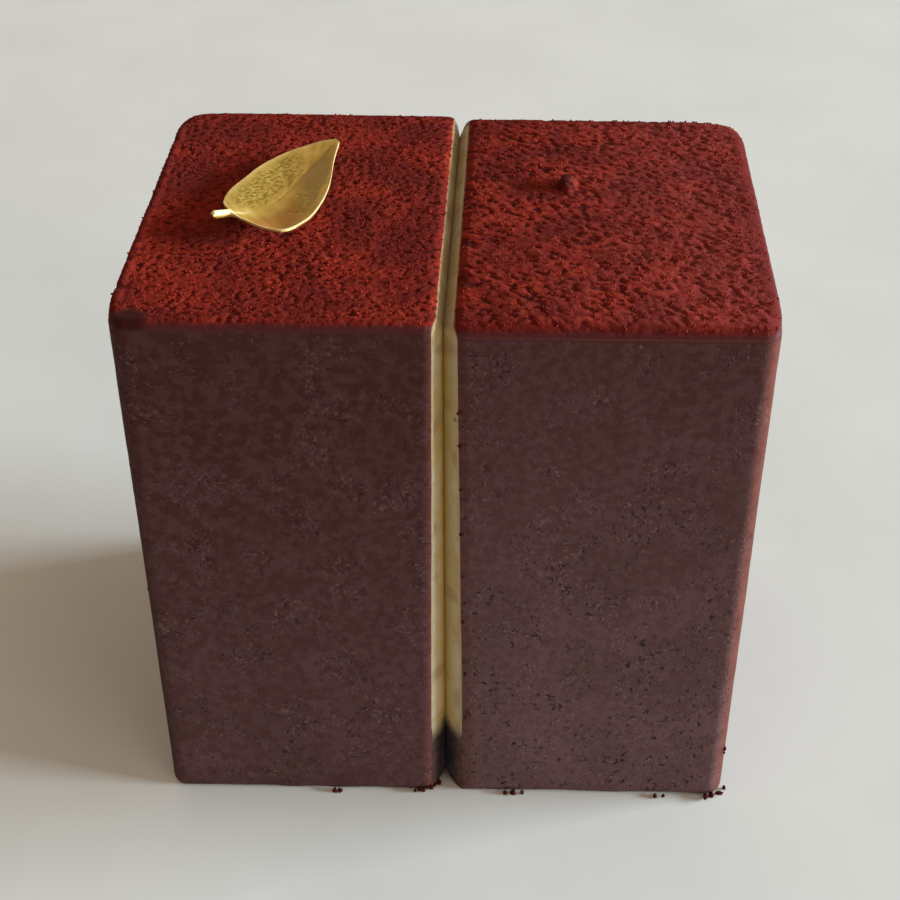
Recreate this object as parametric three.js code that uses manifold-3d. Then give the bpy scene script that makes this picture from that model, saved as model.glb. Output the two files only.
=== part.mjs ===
// Chocolate marquise: a tall block cut once down the middle, whose two halves still keep its shape.
// Each half is pale cream on a dark base under a thin chocolate coat, dusted with cocoa on top, and a
// gilded leaf lies on the left half. Millimetres, +Z up, front face towards -Y, floor at z = 0.
import * as THREE from "three";
import { ImprovedNoise } from "three/addons/math/ImprovedNoise.js";
import { mergeVertices } from "three/addons/utils/BufferGeometryUtils.js";
import Module from "manifold-3d";

// The whole block, from one outer face to the other and from the floor to the cocoa
const WIDTH = 75;
const DEPTH = 53.8;
const HEIGHT = 74.9;

// The block isn't quite square: its left front edge stands forward of the right one, by this share of WIDTH
const FRONT_TURN = 0.018;

// Layers, from the outside in and from the top down, with the clearance between them
const COCOA = 0.7;
const COAT = 0.6;
const BASE = 7.2;
const COAT_LIFT = 0.4;
const FIT = 0.1;

// The cut: a narrow slot whose faces roll back towards the edges of the block
const SLOT_X = -0.1;
const SLOT = 0.4;
const CUT_ROLL = 5;
const CUT_CURVE = 1.5;

// Each half: the radius of its round outer edges, and how far its cut face rolls back at each edge
const HALVES = [
  { name: "left", side: -1, edge: 1, frontTop: 0.85, frontFoot: 1.2, back: 0.35, top: 0.45, foot: 0.9 },
  { name: "right", side: 1, edge: 1.8, frontTop: 1.5, frontFoot: 2.8, back: 0.5, top: 1.15, foot: 1.2 },
];

// Cocoa: an uneven dusting that thins to a rim over the round edges, with one lump on the right half
const COCOA_CELL = 1.3;
const COCOA_INSET = 0.45;
const COCOA_RIM = 0.35;
const CLUMPS = [
  { spacing: 3.1, rise: 0.22 },
  { spacing: 1.7, rise: 0.3 },
];
const LUMP = { half: "right", radius: 1.35, x: 14, y: 6.8, flatness: 0.8, unevenness: 0.25, sunk: 0.5 };

// Gilded leaf: its middle vein and its two rims, from the end of the stalk to the tip. Each point is a place
// on top of the block and its rise over the cocoa.
const LEAF = { thickness: 0.5, cells: [36, 10, 1] };
const VEIN = [
  [-28.5, -6.3, 2.2],
  [-26.6, -5, 1.75],
  [-25.3, -4.3, 1.3],
  [-23.7, -2.8, 0.9],
  [-22, -0.2, 0.7],
  [-20.5, 3.2, 0.7],
  [-19.3, 6.6, 0.85],
  [-18, 9.8, 1.15],
  [-16.7, 12.7, 1.55],
  [-15.7, 15, 1.9],
];
const NEAR_RIM = [
  [-28.3, -7.1, 2.2],
  [-26.3, -5.8, 1.75],
  [-24.7, -6.6, 1.5],
  [-22.1, -8.5, 1.55],
  [-19.5, -8.9, 1.5],
  [-17.2, -6, 1.4],
  [-16, -1.6, 1.35],
  [-15.5, 3.4, 1.35],
  [-15.6, 9.5, 1.5],
  [-15.5, 14.3, 1.9],
];
const FAR_RIM = [
  [-28.7, -5.5, 2.2],
  [-27, -4.2, 1.7],
  [-28.1, -1.4, 1.2],
  [-27.9, 2.1, 0.95],
  [-26.5, 5.9, 0.85],
  [-24.6, 9.8, 0.9],
  [-22.3, 12.6, 1],
  [-19.9, 14.1, 1.25],
  [-17.9, 15, 1.6],
  [-16.1, 15.5, 1.9],
];

const FINISHES = {
  base: { color: 0x2a2020, roughness: 0.8, metalness: 0 },
  cream: { color: 0xe9d8ab, roughness: 0.55, metalness: 0 },
  coat: { color: 0x4a2f2d, roughness: 0.7, metalness: 0 },
  cocoa: { color: 0x6f241c, roughness: 0.95, metalness: 0 },
  gold: { color: 0xc79a3d, roughness: 0.35, metalness: 1 },
};

// Where a lattice needs points: over a round edge, as shares of its radius, and over the roll of a cut face
const EDGE_STATIONS = [0, 1 - Math.tan(Math.PI / 8), 1];
const ROLL_STATIONS = [0.5, 0.72, 1];
const MERGE = 1e-4;

const { clamp, lerp } = THREE.MathUtils;
const noise = new ImprovedNoise();
const wasm = await Module();
wasm.setup();

function welded(geometry) {
  geometry.deleteAttribute("normal");
  geometry.deleteAttribute("uv");
  return mergeVertices(geometry, MERGE);
}

function turnedInsideOut(geometry) {
  const index = geometry.getIndex();
  for (let n = 0; n < index.count; n += 3) {
    const first = index.getX(n);
    index.setX(n, index.getX(n + 1));
    index.setX(n + 1, first);
  }
  return geometry;
}

function moveVertices(geometry, place) {
  const positions = geometry.getAttribute("position");
  const point = new THREE.Vector3();
  for (let n = 0; n < positions.count; n += 1) {
    positions.setXYZ(n, ...place(point.fromBufferAttribute(positions, n)));
  }
  return geometry;
}

// A closed lattice of cells whose point (i, j, k) goes where place says
function latticeSolid(cells, place) {
  const corner = new THREE.Vector3(...cells).multiplyScalar(0.5);
  const lattice = welded(new THREE.BoxGeometry(...cells, ...cells));
  return moveVertices(lattice, (point) => place(...point.add(corner).round()));
}

function toManifold(geometry) {
  const vertProperties = new Float32Array(geometry.getAttribute("position").array);
  const triVerts = new Uint32Array(geometry.getIndex().array);
  return new wasm.Manifold(new wasm.Mesh({ numProp: 3, vertProperties, triVerts }));
}

function toGeometry(manifold) {
  const { vertProperties, triVerts, numProp } = manifold.getMesh();
  const geometry = new THREE.BufferGeometry();
  geometry.setAttribute("position", new THREE.BufferAttribute(vertProperties, numProp));
  return geometry.setIndex(new THREE.BufferAttribute(triVerts, 1));
}

// The cut face of a half at depth y and height z
function cutX(half, y, z) {
  const front = lerp(half.frontFoot, half.frontTop, z / HEIGHT);
  const roll = (reach, distance) => reach * Math.max(0, 1 - distance / CUT_ROLL) ** CUT_CURVE;
  const recess = Math.hypot(
    roll(front, y + DEPTH / 2),
    roll(half.back, DEPTH / 2 - y),
    roll(half.top, HEIGHT - z),
    roll(half.foot, z),
  );
  return SLOT_X + half.side * (SLOT / 2 + recess);
}

// A half block set in from the outer faces, with round upright edges and, where crowned, round top edges.
// Its open side follows the cut, or stands at openX.
function blockGeometry(half, { inset, foot, top, crowned = true, openX }) {
  const radius = half.edge - inset;
  const reachX = WIDTH / 2 - inset;
  const reachY = DEPTH / 2 - inset;
  const edge = EDGE_STATIONS.map((share) => share * radius);
  const roll = ROLL_STATIONS.map((share) => share * CUT_ROLL);
  const fromEdge = [...edge, ...roll];
  const acrossX = [0, ...edge.map((step) => reachX - step).reverse()];
  const fromFront = fromEdge.map((step) => step - reachY);
  const alongY = [...fromFront, ...fromFront.map((y) => -y).reverse()];
  const fromFoot = [0, ...roll].map((step) => foot + step);
  const fromTop = crowned ? fromEdge.map((step) => top - step).reverse() : [top];
  const upZ = [...fromFoot.filter((z) => z < fromTop[0]), ...fromTop];
  const cells = [acrossX, alongY, upZ].map((stations) => stations.length - 1);
  const block = latticeSolid(cells, (i, j, k) => {
    const point = new THREE.Vector3(acrossX[i], alongY[j], upZ[k]);
    const core = new THREE.Vector3(
      Math.min(point.x, reachX - radius),
      clamp(point.y, radius - reachY, reachY - radius),
      crowned ? Math.min(point.z, top - radius) : point.z,
    );
    const outwards = point.sub(core);
    const { x, y, z } = core.add(outwards.setLength(outwards.lengthSq() > 0 ? radius : 0));
    return [i > 0 ? half.side * x : openX ?? cutX(half, y, z), y, z];
  });
  return half.side < 0 ? turnedInsideOut(block) : block;
}

function baseGeometry(half) {
  return blockGeometry(half, { inset: COAT + FIT, foot: 0, top: BASE, crowned: false });
}

function creamGeometry(half) {
  return blockGeometry(half, { inset: COAT + FIT, foot: BASE, top: HEIGHT - COCOA - COAT - FIT });
}

// The coat is the outside of the half with the space for cream and base taken out, open at the cut and below
function coatGeometry(half) {
  const top = HEIGHT - COCOA;
  const outside = blockGeometry(half, { inset: 0, foot: COAT_LIFT, top });
  const openX = -half.side * WIDTH;
  const inside = blockGeometry(half, { inset: COAT, foot: -BASE, top: top - COAT, openX });
  return toGeometry(toManifold(outside).subtract(toManifold(inside)));
}

// A point on top of the dusting, at shares u from the cut outwards and v from front to back
function cocoaPoint(half, u, v) {
  const inset = COCOA_INSET * half.edge;
  const reachX = WIDTH / 2 - inset;
  const reachY = DEPTH / 2 - inset;
  const straightY = lerp(-reachY, reachY, v);
  const straightX = lerp(half.side * cutX(half, straightY, HEIGHT), reachX, u);
  const coreX = Math.min(straightX, reachX - half.edge);
  const coreY = clamp(straightY, half.edge - reachY, reachY - half.edge);
  const outwards = new THREE.Vector2(straightX - coreX, straightY - coreY);
  const beyond = Math.min(half.edge, Math.max(outwards.x, Math.abs(outwards.y)));
  outwards.setLength(beyond);
  const x = half.side * (coreX + outwards.x);
  const y = coreY + outwards.y;
  const fullness = Math.sqrt(1 - (beyond / half.edge) ** 2);
  const clump = ({ spacing, rise }) => rise * noise.noise(x / spacing, y / spacing, rise);
  const clumped = CLUMPS.reduce((sum, size) => sum + clump(size), COCOA);
  return [x, y, HEIGHT - COCOA + lerp(COCOA_RIM, clumped, fullness)];
}

// The dusting is a grid of such points with an upright rim and a flat underside that fans from its middle
function cocoaGeometry(half) {
  const cellsX = Math.round(WIDTH / 2 / COCOA_CELL);
  const cellsY = Math.round(DEPTH / COCOA_CELL);
  const underside = HEIGHT - COCOA + FIT;
  const grid = (i, j) => j * (cellsX + 1) + i;
  const points = [];
  const index = [];
  for (let j = 0; j <= cellsY; j += 1) {
    for (let i = 0; i <= cellsX; i += 1) {
      points.push(cocoaPoint(half, i / cellsX, j / cellsY));
      if (i < cellsX && j < cellsY) {
        index.push(grid(i, j), grid(i + 1, j), grid(i + 1, j + 1));
        index.push(grid(i, j), grid(i + 1, j + 1), grid(i, j + 1));
      }
    }
  }
  const columns = Array.from({ length: cellsX }, (_, i) => i);
  const rows = Array.from({ length: cellsY }, (_, j) => j);
  const border = [
    ...columns.map((i) => grid(i, 0)),
    ...rows.map((j) => grid(cellsX, j)),
    ...columns.map((i) => grid(cellsX - i, cellsY)),
    ...rows.map((j) => grid(0, cellsY - j)),
  ];
  const rim = points.length;
  const middle = rim + border.length;
  border.forEach((vertex, n) => {
    const next = (n + 1) % border.length;
    const [x, y] = points[vertex];
    points.push([x, y, underside]);
    index.push(rim + n, rim + next, border[next], rim + n, border[next], vertex);
    index.push(middle, rim + next, rim + n);
  });
  points.push([(half.side * WIDTH) / 4, 0, underside]);
  const geometry = new THREE.BufferGeometry();
  geometry.setAttribute("position", new THREE.Float32BufferAttribute(points.flat(), 3));
  geometry.setIndex(index);
  return half.side < 0 ? turnedInsideOut(geometry) : geometry;
}

// A pinch of cocoa that stuck together
function lumpGeometry() {
  const middleZ = HEIGHT + LUMP.sunk * LUMP.radius;
  return moveVertices(welded(new THREE.IcosahedronGeometry(LUMP.radius, 1)), (point) => {
    point.multiplyScalar(1 + LUMP.unevenness * noise.noise(...point));
    return [LUMP.x + point.x, LUMP.y + point.y, middleZ + LUMP.flatness * point.z];
  });
}

// The dusting of one half, with the lump fused on where it lies
function dustingGeometry(half) {
  const dusting = cocoaGeometry(half);
  return half.name === LUMP.half ? toGeometry(toManifold(dusting).add(toManifold(lumpGeometry()))) : dusting;
}

// The leaf spans its rims, flat in plan from the vein to each rim and cupped in height
function leafGeometry() {
  const [cellsAlong, cellsAcross] = LEAF.cells;
  const [vein, nearRim, farRim] = [VEIN, NEAR_RIM, FAR_RIM].map((rail) => {
    const points = rail.map((point) => new THREE.Vector3(...point));
    return new THREE.CatmullRomCurve3(points, false, "catmullrom");
  });
  return latticeSolid(LEAF.cells, (i, j, k) => {
    const across = (2 * j) / cellsAcross - 1;
    const middle = vein.getPoint(i / cellsAlong);
    const rim = (across < 0 ? nearRim : farRim).getPoint(i / cellsAlong);
    const rise = lerp(middle.z, rim.z, across * across);
    const { x, y } = middle.lerp(rim, Math.abs(across));
    return [x, y, HEIGHT + rise + (k - 0.5) * LEAF.thickness];
  });
}

// Turns the front face of the block, and what lies behind it less and less
function outOfSquare(geometry) {
  return moveVertices(geometry, ({ x, y, z }) => {
    const share = (DEPTH / 2 - y) / DEPTH;
    return [x, y + FRONT_TURN * (x * share + WIDTH / 4), z];
  });
}

function piece(name, geometry, finish) {
  geometry.computeVertexNormals();
  const mesh = new THREE.Mesh(geometry, new THREE.MeshStandardMaterial(finish));
  mesh.name = name;
  return mesh;
}

function halfBlock(half) {
  const group = new THREE.Group();
  const layers = { base: baseGeometry, cream: creamGeometry, coat: coatGeometry, cocoa: dustingGeometry };
  Object.entries(layers).forEach(([layer, geometry]) => {
    group.add(piece(`${half.name}_${layer}`, outOfSquare(geometry(half)), FINISHES[layer]));
  });
  return group;
}

const marquise = new THREE.Group();
HALVES.forEach((half) => marquise.add(halfBlock(half)));
marquise.add(piece("gold_leaf", leafGeometry(), FINISHES.gold));

export default marquise;
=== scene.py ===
# %% [markdown]
# # A chocolate marquise, cut in two
# A tall block of pale cream on a thin dark base, coated with chocolate, dusted with cocoa and cut once down
# the middle, with a gilded leaf on top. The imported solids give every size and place. This lesson stands a
# finer mesh in the place of each solid, so that clumps, pits and crinkles are real shapes, and then gives
# each mesh a finish made of nodes.

import math
from types import SimpleNamespace as Spec

import bmesh
import bpy
import numpy as np
from mathutils import Matrix, Vector, noise


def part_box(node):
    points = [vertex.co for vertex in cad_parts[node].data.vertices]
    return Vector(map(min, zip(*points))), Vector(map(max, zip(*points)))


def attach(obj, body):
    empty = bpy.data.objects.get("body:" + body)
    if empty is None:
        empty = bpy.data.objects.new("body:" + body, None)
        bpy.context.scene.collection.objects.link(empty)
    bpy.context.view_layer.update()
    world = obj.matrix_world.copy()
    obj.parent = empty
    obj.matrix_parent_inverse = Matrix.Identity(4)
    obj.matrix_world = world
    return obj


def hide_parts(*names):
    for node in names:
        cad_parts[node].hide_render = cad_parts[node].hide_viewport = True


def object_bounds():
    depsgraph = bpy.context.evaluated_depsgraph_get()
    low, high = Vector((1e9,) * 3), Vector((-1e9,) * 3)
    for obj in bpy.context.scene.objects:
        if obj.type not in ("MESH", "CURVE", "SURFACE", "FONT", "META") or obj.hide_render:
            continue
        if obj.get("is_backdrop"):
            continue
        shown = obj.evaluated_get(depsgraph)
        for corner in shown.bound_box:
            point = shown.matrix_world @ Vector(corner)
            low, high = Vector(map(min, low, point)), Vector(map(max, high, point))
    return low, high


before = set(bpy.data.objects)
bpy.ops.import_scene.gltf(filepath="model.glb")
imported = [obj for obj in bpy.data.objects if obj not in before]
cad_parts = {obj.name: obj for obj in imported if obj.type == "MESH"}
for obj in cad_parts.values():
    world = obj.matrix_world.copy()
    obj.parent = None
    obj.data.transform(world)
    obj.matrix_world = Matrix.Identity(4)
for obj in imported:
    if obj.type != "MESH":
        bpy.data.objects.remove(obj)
cad_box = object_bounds()
MM = 0.001
print("solids:", ", ".join(sorted(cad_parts)))

# %% [markdown]
# ## The measures
# All shapes below are worked out in millimetres, as a baker would measure them, and turned into metres only
# when a mesh is made. What a solid's box can tell is read from it. The rest are the few values that shaped
# the solids: how round each half's edges are, how far the soft cut rolls back at its rims, and the small turn
# of the front face, because the block isn't quite square.

# %% Read the block's measures and describe the two halves
COCOA_DEPTH = 0.7
FRONT_TURN = 0.018
HALVES = {
    "left": Spec(
        side=-1, edge=1.0, front_top=1.5, front_foot=2.3, back=0.4, top=1.1, foot=1.05,
        corner=2.0, front_hem=(0.2, 0.75), side_hem=(0.85, 1.15), side_swell=0.65,
        stretch=1.25, turn_shade=0.5, bloom=(0.04, 0.52), worn=0.0, rim_worn=0.3,
    ),
    "right": Spec(
        side=1, edge=1.8, front_top=2.15, front_foot=3.1, back=0.6, top=1.8, foot=1.35,
        corner=2.1, front_hem=(0.5, 0.85), side_hem=(0.4, 0.9), side_swell=0.5,
        stretch=1.6, turn_shade=0.9, bloom=(0.2, 1.0), worn=0.45, rim_worn=0.2,
    ),
}


def box_mm(node):
    return [np.array(corner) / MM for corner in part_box(node)]


(_, low_y, COAT_FOOT), (_, high_y, _) = box_mm("left_coat")
OUTER, _, coat_top = box_mm("right_coat")[1]
HEIGHT = coat_top + COCOA_DEPTH
BASE_TOP = box_mm("left_base")[1][2]
BACK = (high_y - low_y - FRONT_TURN * OUTER) / 2
FRONT = -BACK
BACK_CORNER = 3.0


def rounder(half, x, y, corner, way):
    """Pulls one upright edge in, from the edge's own radius to the larger one of its corner."""
    out, along = np.maximum(0, x - OUTER + corner), np.maximum(0, way * y - BACK + corner)
    length = np.maximum(np.hypot(out, along), 1e-9)
    more, less = np.maximum(out, along) / length, np.minimum(out, along) / length
    inner = corner - half.edge
    lean = inner * (more + less)
    on_arc = lean + np.sqrt(np.maximum(0, lean**2 - 2 * inner**2 + half.edge ** 2))
    reach = np.where(on_arc * less > inner, on_arc, corner / np.maximum(more, 0.5))
    pull = np.where((out > 0) & (along > 0), corner / reach - 1, 0)
    return x + pull * out, y + way * pull * along


def in_place(half, points):
    """Points counted from the cut outwards, set where they are on the block with its turned front."""
    x, y, z = np.moveaxis(points, -1, 0)
    x, y = rounder(half, x, y, half.corner, -1)
    x, y = rounder(half, x, y, BACK_CORNER, 1)
    x = half.side * x
    turned = FRONT_TURN * (x * (BACK - y) / (BACK - FRONT) + OUTER / 2)
    return np.stack([x, y + turned, z], axis=-1)


print(f"block: {2 * OUTER:.1f} wide, {BACK - FRONT:.1f} deep, {HEIGHT:.1f} tall, base {BASE_TOP:.1f}")

# %% [markdown]
# ## The cut
# A knife has parted the block, and both soft faces roll back where they meet the front, the back, the top
# and the foot. A modelled bevel would be even all round. A small formula gives each rim its own reach, and
# every layer that shows at the cut asks the same formula, so the layers stay flush.

# %% Say how far the cut face stands from the middle
SLOT_MIDDLE = -0.2
SLOT = -0.3
CUT_ROLL = 2.4
FOOT_ROLL = 2.6
CUT_CURVE = 1.05
RIM_MEETING = 4
CUT_LIP = Spec(reach=0.8, depth=0.26)


def rolled(reach, distance, depth=CUT_ROLL):
    return reach * np.maximum(0, 1 - distance / depth) ** CUT_CURVE


def cut_at(half, y, z):
    """Distance from the middle plane to the cut face, counted towards the half's own outer side."""
    front = half.front_foot + (half.front_top - half.front_foot) * z / HEIGHT
    reaches = [
        rolled(front, y - FRONT),
        rolled(half.back, BACK - y),
        rolled(half.top, HEIGHT - z),
        rolled(half.foot, z, FOOT_ROLL),
    ]
    recess = sum(reach**RIM_MEETING for reach in reaches) ** (1 / RIM_MEETING)
    return half.side * SLOT_MIDDLE + SLOT / 2 + recess


def off_cut(half, points):
    return points[..., 0] - cut_at(half, points[..., 1], points[..., 2])


def lip(spec, distance):
    """How far a skin turns in at that distance from its rim."""
    return spec.depth * np.maximum(0, 1 - distance / spec.reach) ** 2


for name, half in HALVES.items():
    print(f"{name} cut at mid front: {cut_at(half, FRONT, HEIGHT / 2):.2f} mm from the middle")

# %% [markdown]
# ## Closed skins
# Each layer is a fine grid where it shows, and a coarser grid behind it, joined round the rim. A Solidify
# modifier would give the hidden side as many faces as the visible one. Building both grids from arrays keeps
# the faces where the eye is, and the mesh stays closed like a real layer of food.

# %% Make helpers for grids, closed skins and values painted on vertices
SHARP = math.radians(70)


def cells_over(length, spacing, stride=1):
    return stride * max(1, round(length / spacing / stride))


def grid_faces(rows, columns, first):
    corner = first + np.arange(rows - 1)[:, None] * columns + np.arange(columns - 1)
    ring = [corner, corner + 1, corner + columns + 1, corner + columns]
    return np.stack(ring, axis=-1).reshape(-1, len(ring)).tolist()


def grid_rim(rows, columns, first):
    index = first + np.arange(rows * columns).reshape(rows, columns)
    sides = [index[0, :-1], index[:-1, -1], index[-1, :0:-1], index[:0:-1, 0], index[0, :1]]
    return np.concatenate(sides).tolist()


def new_piece(name, points, faces):
    mesh = bpy.data.meshes.new(name)
    mesh.from_pydata((points * MM).tolist(), [], faces)
    work = bmesh.new()
    work.from_mesh(mesh)
    bmesh.ops.recalc_face_normals(work, faces=work.faces)
    work.to_mesh(mesh)
    work.free()
    mesh.shade_smooth()
    mesh.set_sharp_from_angle(angle=SHARP)
    piece = bpy.data.objects.new(name, mesh)
    bpy.context.scene.collection.objects.link(piece)
    print(f"{name}: {len(mesh.vertices)} vertices, {len(mesh.polygons)} faces")
    return piece


def closed_skin(name, shown, hidden):
    """A closed mesh of a fine grid and of a coarser grid behind it, joined round the rim."""
    stride = (shown.shape[0] - 1) // (hidden.shape[0] - 1)
    first_hidden = shown.shape[0] * shown.shape[1]
    rim = grid_rim(*shown.shape[:2], 0)
    hidden_rim = grid_rim(*hidden.shape[:2], first_hidden)
    faces = grid_faces(*shown.shape[:2], 0) + grid_faces(*hidden.shape[:2], first_hidden)
    for n in range(len(hidden_rim) - 1):
        faces.append([*rim[n * stride : (n + 1) * stride + 1], hidden_rim[n + 1], hidden_rim[n]])
    return new_piece(name, np.concatenate([shown.reshape(-1, 3), hidden.reshape(-1, 3)]), faces)


def paint(piece, **named):
    """Writes values on the vertices, the shown grid first, for a finish to read. The rest stay at nothing."""
    for name, values in named.items():
        full = np.zeros(len(piece.data.vertices), np.float32)
        full[: values.size] = values.ravel()
        piece.data.attributes.new(name, "FLOAT", "POINT").data.foreach_set("value", full)


def smooth_step(low, high, value):
    share = np.clip((value - low) / (high - low), 0, 1)
    return share * share * (3 - 2 * share)


# %% [markdown]
# ## Uneven by nature
# Food is never flat. Blender's own noise, asked at points of the mesh, gives swells, pits and clumps that
# run on over edges without a seam, and a seed number moves the pattern so that no two pieces repeat.

# %% Make helpers for noise at many points
SEED_STEP = Vector((7.31, 3.17, 5.93))


def noise_at(points, size, seed):
    """Smooth noise from about -1 to 1, with features of that size in millimetres."""
    shift = SEED_STEP * seed
    flat = [noise.noise(Vector(point) + shift) for point in (points / size).reshape(-1, 3).tolist()]
    return np.array(flat).reshape(points.shape[:-1])


print("noise at the origin:", noise_at(np.zeros((1, 3)), 1.0, 1))

# %% [markdown]
# ## Node helpers
# A finish is a small tree of shader nodes. Placing nodes by hand in code is wordy, so one helper adds a node,
# sets what is constant and links what comes from other nodes. Effects that several finishes share become
# node groups further down.

# %% Make helpers for shader nodes
def linear(red, green, blue):
    """A colour as the eye reads it on a screen, from 0 to 255, as the light that Blender works with."""
    shares = [value / 255 for value in (red, green, blue)]
    return (*[s / 12.92 if s <= 0.04045 else ((s + 0.055) / 1.055) ** 2.4 for s in shares], 1.0)


def add(tree, kind, inputs=None, **settings):
    """Adds a node. An input that is another node's output is linked, and any other value is set."""
    made = tree.nodes.new(kind)
    for key, value in settings.items():
        setattr(made, key, value)
    for key, value in (inputs or {}).items():
        if isinstance(value, bpy.types.NodeSocket):
            tree.links.new(value, made.inputs[key])
        else:
            made.inputs[key].default_value = value
    return made


def mix(tree, factor, first, second):
    return add(tree, "ShaderNodeMix", {0: factor, 6: first, 7: second}, data_type="RGBA").outputs[2]


def math_of(tree, operation, *values):
    return add(tree, "ShaderNodeMath", dict(enumerate(values)), operation=operation).outputs[0]


def times(tree, *values):
    return math_of(tree, "MULTIPLY", *values)


def layered(tree, colour, *layers):
    """The colour under layers of other colours, each given by its mask."""
    for mask, other in layers:
        colour = mix(tree, mask, colour, other)
    return colour


def between(tree, value, low, high, to_low=0.0, to_high=1.0):
    inputs = {"Value": value, "From Min": low, "From Max": high, "To Min": to_low, "To Max": to_high}
    return add(tree, "ShaderNodeMapRange", inputs, interpolation_type="SMOOTHSTEP").outputs["Result"]


def painted(tree, name):
    return add(tree, "ShaderNodeAttribute", attribute_name=name).outputs["Fac"]


def new_group(name, inputs, outputs):
    tree = bpy.data.node_groups.new(name, "ShaderNodeTree")
    for socket, value in inputs.items():
        made = tree.interface.new_socket(socket, in_out="INPUT", socket_type="NodeSocketFloat")
        made.default_value = value
    for socket in outputs:
        tree.interface.new_socket(socket, in_out="OUTPUT", socket_type="NodeSocketFloat")
    return tree, add(tree, "NodeGroupInput").outputs


def close_group(tree, results):
    add(tree, "NodeGroupOutput", results)
    print(f"group {tree.name}: {len(tree.nodes)} nodes")


def place_group(tree, group, **inputs):
    made = tree.nodes.new("ShaderNodeGroup")
    made.node_tree = group
    for key, value in inputs.items():
        made.inputs[key].default_value = value
    return made.outputs


# %% [markdown]
# ## Shared effects
# Some effects come back in several finishes. "Grain" is the fine unevenness of colour and surface that any
# food has. "Specks" scatters small dots, such as cocoa on the cream or crumbs in the base. "Hairlines" draws
# the broken, curved scratches of a handled surface. Each takes its size in millimetres, so that one group
# serves both powder and floor.

# %% Build the shared node groups
GRIT_SHARE = 0.2
BREAK_SCALE = 2.3


def position_over(tree, size):
    """The place on the object, counted in steps of that many millimetres."""
    place = add(tree, "ShaderNodeTexCoord").outputs["Object"]
    steps = math_of(tree, "DIVIDE", 1 / MM, size)
    return add(tree, "ShaderNodeVectorMath", {0: place, "Scale": steps}, operation="SCALE").outputs[0]


grain, given = new_group("Grain", {"Size": 1.0, "Detail": 4.0}, ["Mottle", "Grit"])
where = position_over(grain, given["Size"])
broad = add(grain, "ShaderNodeTexNoise", {"Vector": where, "Scale": 1.0, "Detail": given["Detail"]})
where = position_over(grain, times(grain, given["Size"], GRIT_SHARE))
fine = add(grain, "ShaderNodeTexNoise", {"Vector": where, "Scale": 1.0, "Detail": 3.0})
close_group(grain, {"Mottle": between(grain, broad.outputs["Fac"], 0.3, 0.7), "Grit": fine.outputs["Fac"]})

specks, given = new_group("Specks", {"Spacing": 1.0, "Width": 0.2, "Share": 0.5}, ["Mask"])
cells = add(specks, "ShaderNodeTexVoronoi", {"Vector": position_over(specks, given["Spacing"]), "Scale": 1.0})
draw = add(specks, "ShaderNodeSeparateColor", {"Color": cells.outputs["Color"]}).outputs
width = times(specks, given["Width"], draw["Green"])
inside = math_of(specks, "LESS_THAN", cells.outputs["Distance"], width)
chosen = math_of(specks, "LESS_THAN", draw["Red"], given["Share"])
close_group(specks, {"Mask": times(specks, inside, chosen)})

hairlines, given = new_group("Hairlines", {"Size": 6.0, "Width": 0.02, "Share": 0.5}, ["Mask"])
where = position_over(hairlines, given["Size"])
lines = add(hairlines, "ShaderNodeTexNoise", {"Vector": where, "Scale": 1.0, "Detail": 1.0})
off_line = math_of(hairlines, "ABSOLUTE", math_of(hairlines, "SUBTRACT", lines.outputs["Fac"], 0.5))
on_line = math_of(hairlines, "LESS_THAN", off_line, given["Width"])
breaks = add(hairlines, "ShaderNodeTexNoise", {"Vector": where, "Scale": BREAK_SCALE, "Detail": 0.0})
kept = math_of(hairlines, "LESS_THAN", breaks.outputs["Fac"], given["Share"])
close_group(hairlines, {"Mask": times(hairlines, on_line, kept)})

# %% [markdown]
# ## Finishing a material
# Every finish ends in one Principled BSDF. What stays the same all over, such as subsurface depth or the
# specular level, is set straight on its sockets, and only what varies is linked.

# %% Make a helper for the end of a material
def finish_material(name, build, **constants):
    material = bpy.data.materials.new(name)
    material.use_nodes = True
    tree = material.node_tree
    tree.nodes.clear()
    colour, roughness, height, depth, *metal = build(tree)
    bump = add(tree, "ShaderNodeBump", {"Height": height, "Distance": depth * MM, "Strength": 1.0})
    inputs = {"Base Color": colour, "Roughness": roughness, "Normal": bump.outputs["Normal"]}
    inputs.update({"Metallic": value for value in metal})
    inputs.update({key.replace("_", " "): value for key, value in constants.items()})
    surface = add(tree, "ShaderNodeBsdfPrincipled", inputs)
    add(tree, "ShaderNodeOutputMaterial", {"Surface": surface.outputs["BSDF"]})
    print(f"finish {name}: {len(tree.nodes)} nodes")
    return material


def dress(piece, slot, material, *nodes):
    piece.data.materials.append(material)
    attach(piece, "root")
    if nodes:
        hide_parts(*nodes)


# %% [markdown]
# ## The finish of the cocoa
# Cocoa powder is dry, dull and red-brown. Light dies in the pockets between its clumps and the tips are a
# little paler, and the finish paints that shade and light into the colour. A texture could only guess where
# the pockets are. Here the mesh carries the tone of its clumps on its vertices, with values for thin hems,
# the drop, the side that lies on the cream, a painted sheen that grows towards the right and painted shade
# on the turned edges and on the large crumb, and the finish reads them. Where the dusting is thin, the dark
# coat shows through, smoother and slightly glossy.

# %% Make the cocoa finish
COCOA_POCKET = linear(78, 13, 8)
COCOA_BODY = linear(140, 34, 16)
COCOA_TIP = linear(158, 56, 36)
COCOA_SHADE = linear(88, 17, 14)
COCOA_SHEEN = linear(150, 62, 58)
THIN_COCOA = linear(74, 29, 28)
HEM_LINE = linear(150, 100, 90)
# Dark of the bare drop and of fallen crumbs, and painted shade on the large crumb.
DARK_DROP_AND_SHADE = linear(52, 13, 14)
COCOA_UNDER = linear(150, 112, 76)
POCKETS, TIPS = (0.0, 0.4), (0.55, 1.0)
COCOA_MOTTLE, COCOA_SWELL = 0.3, 0.7
COCOA_ROUGH, HEM_ROUGH, DROP_GLOSS = 0.95, 0.5, -0.03


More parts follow.
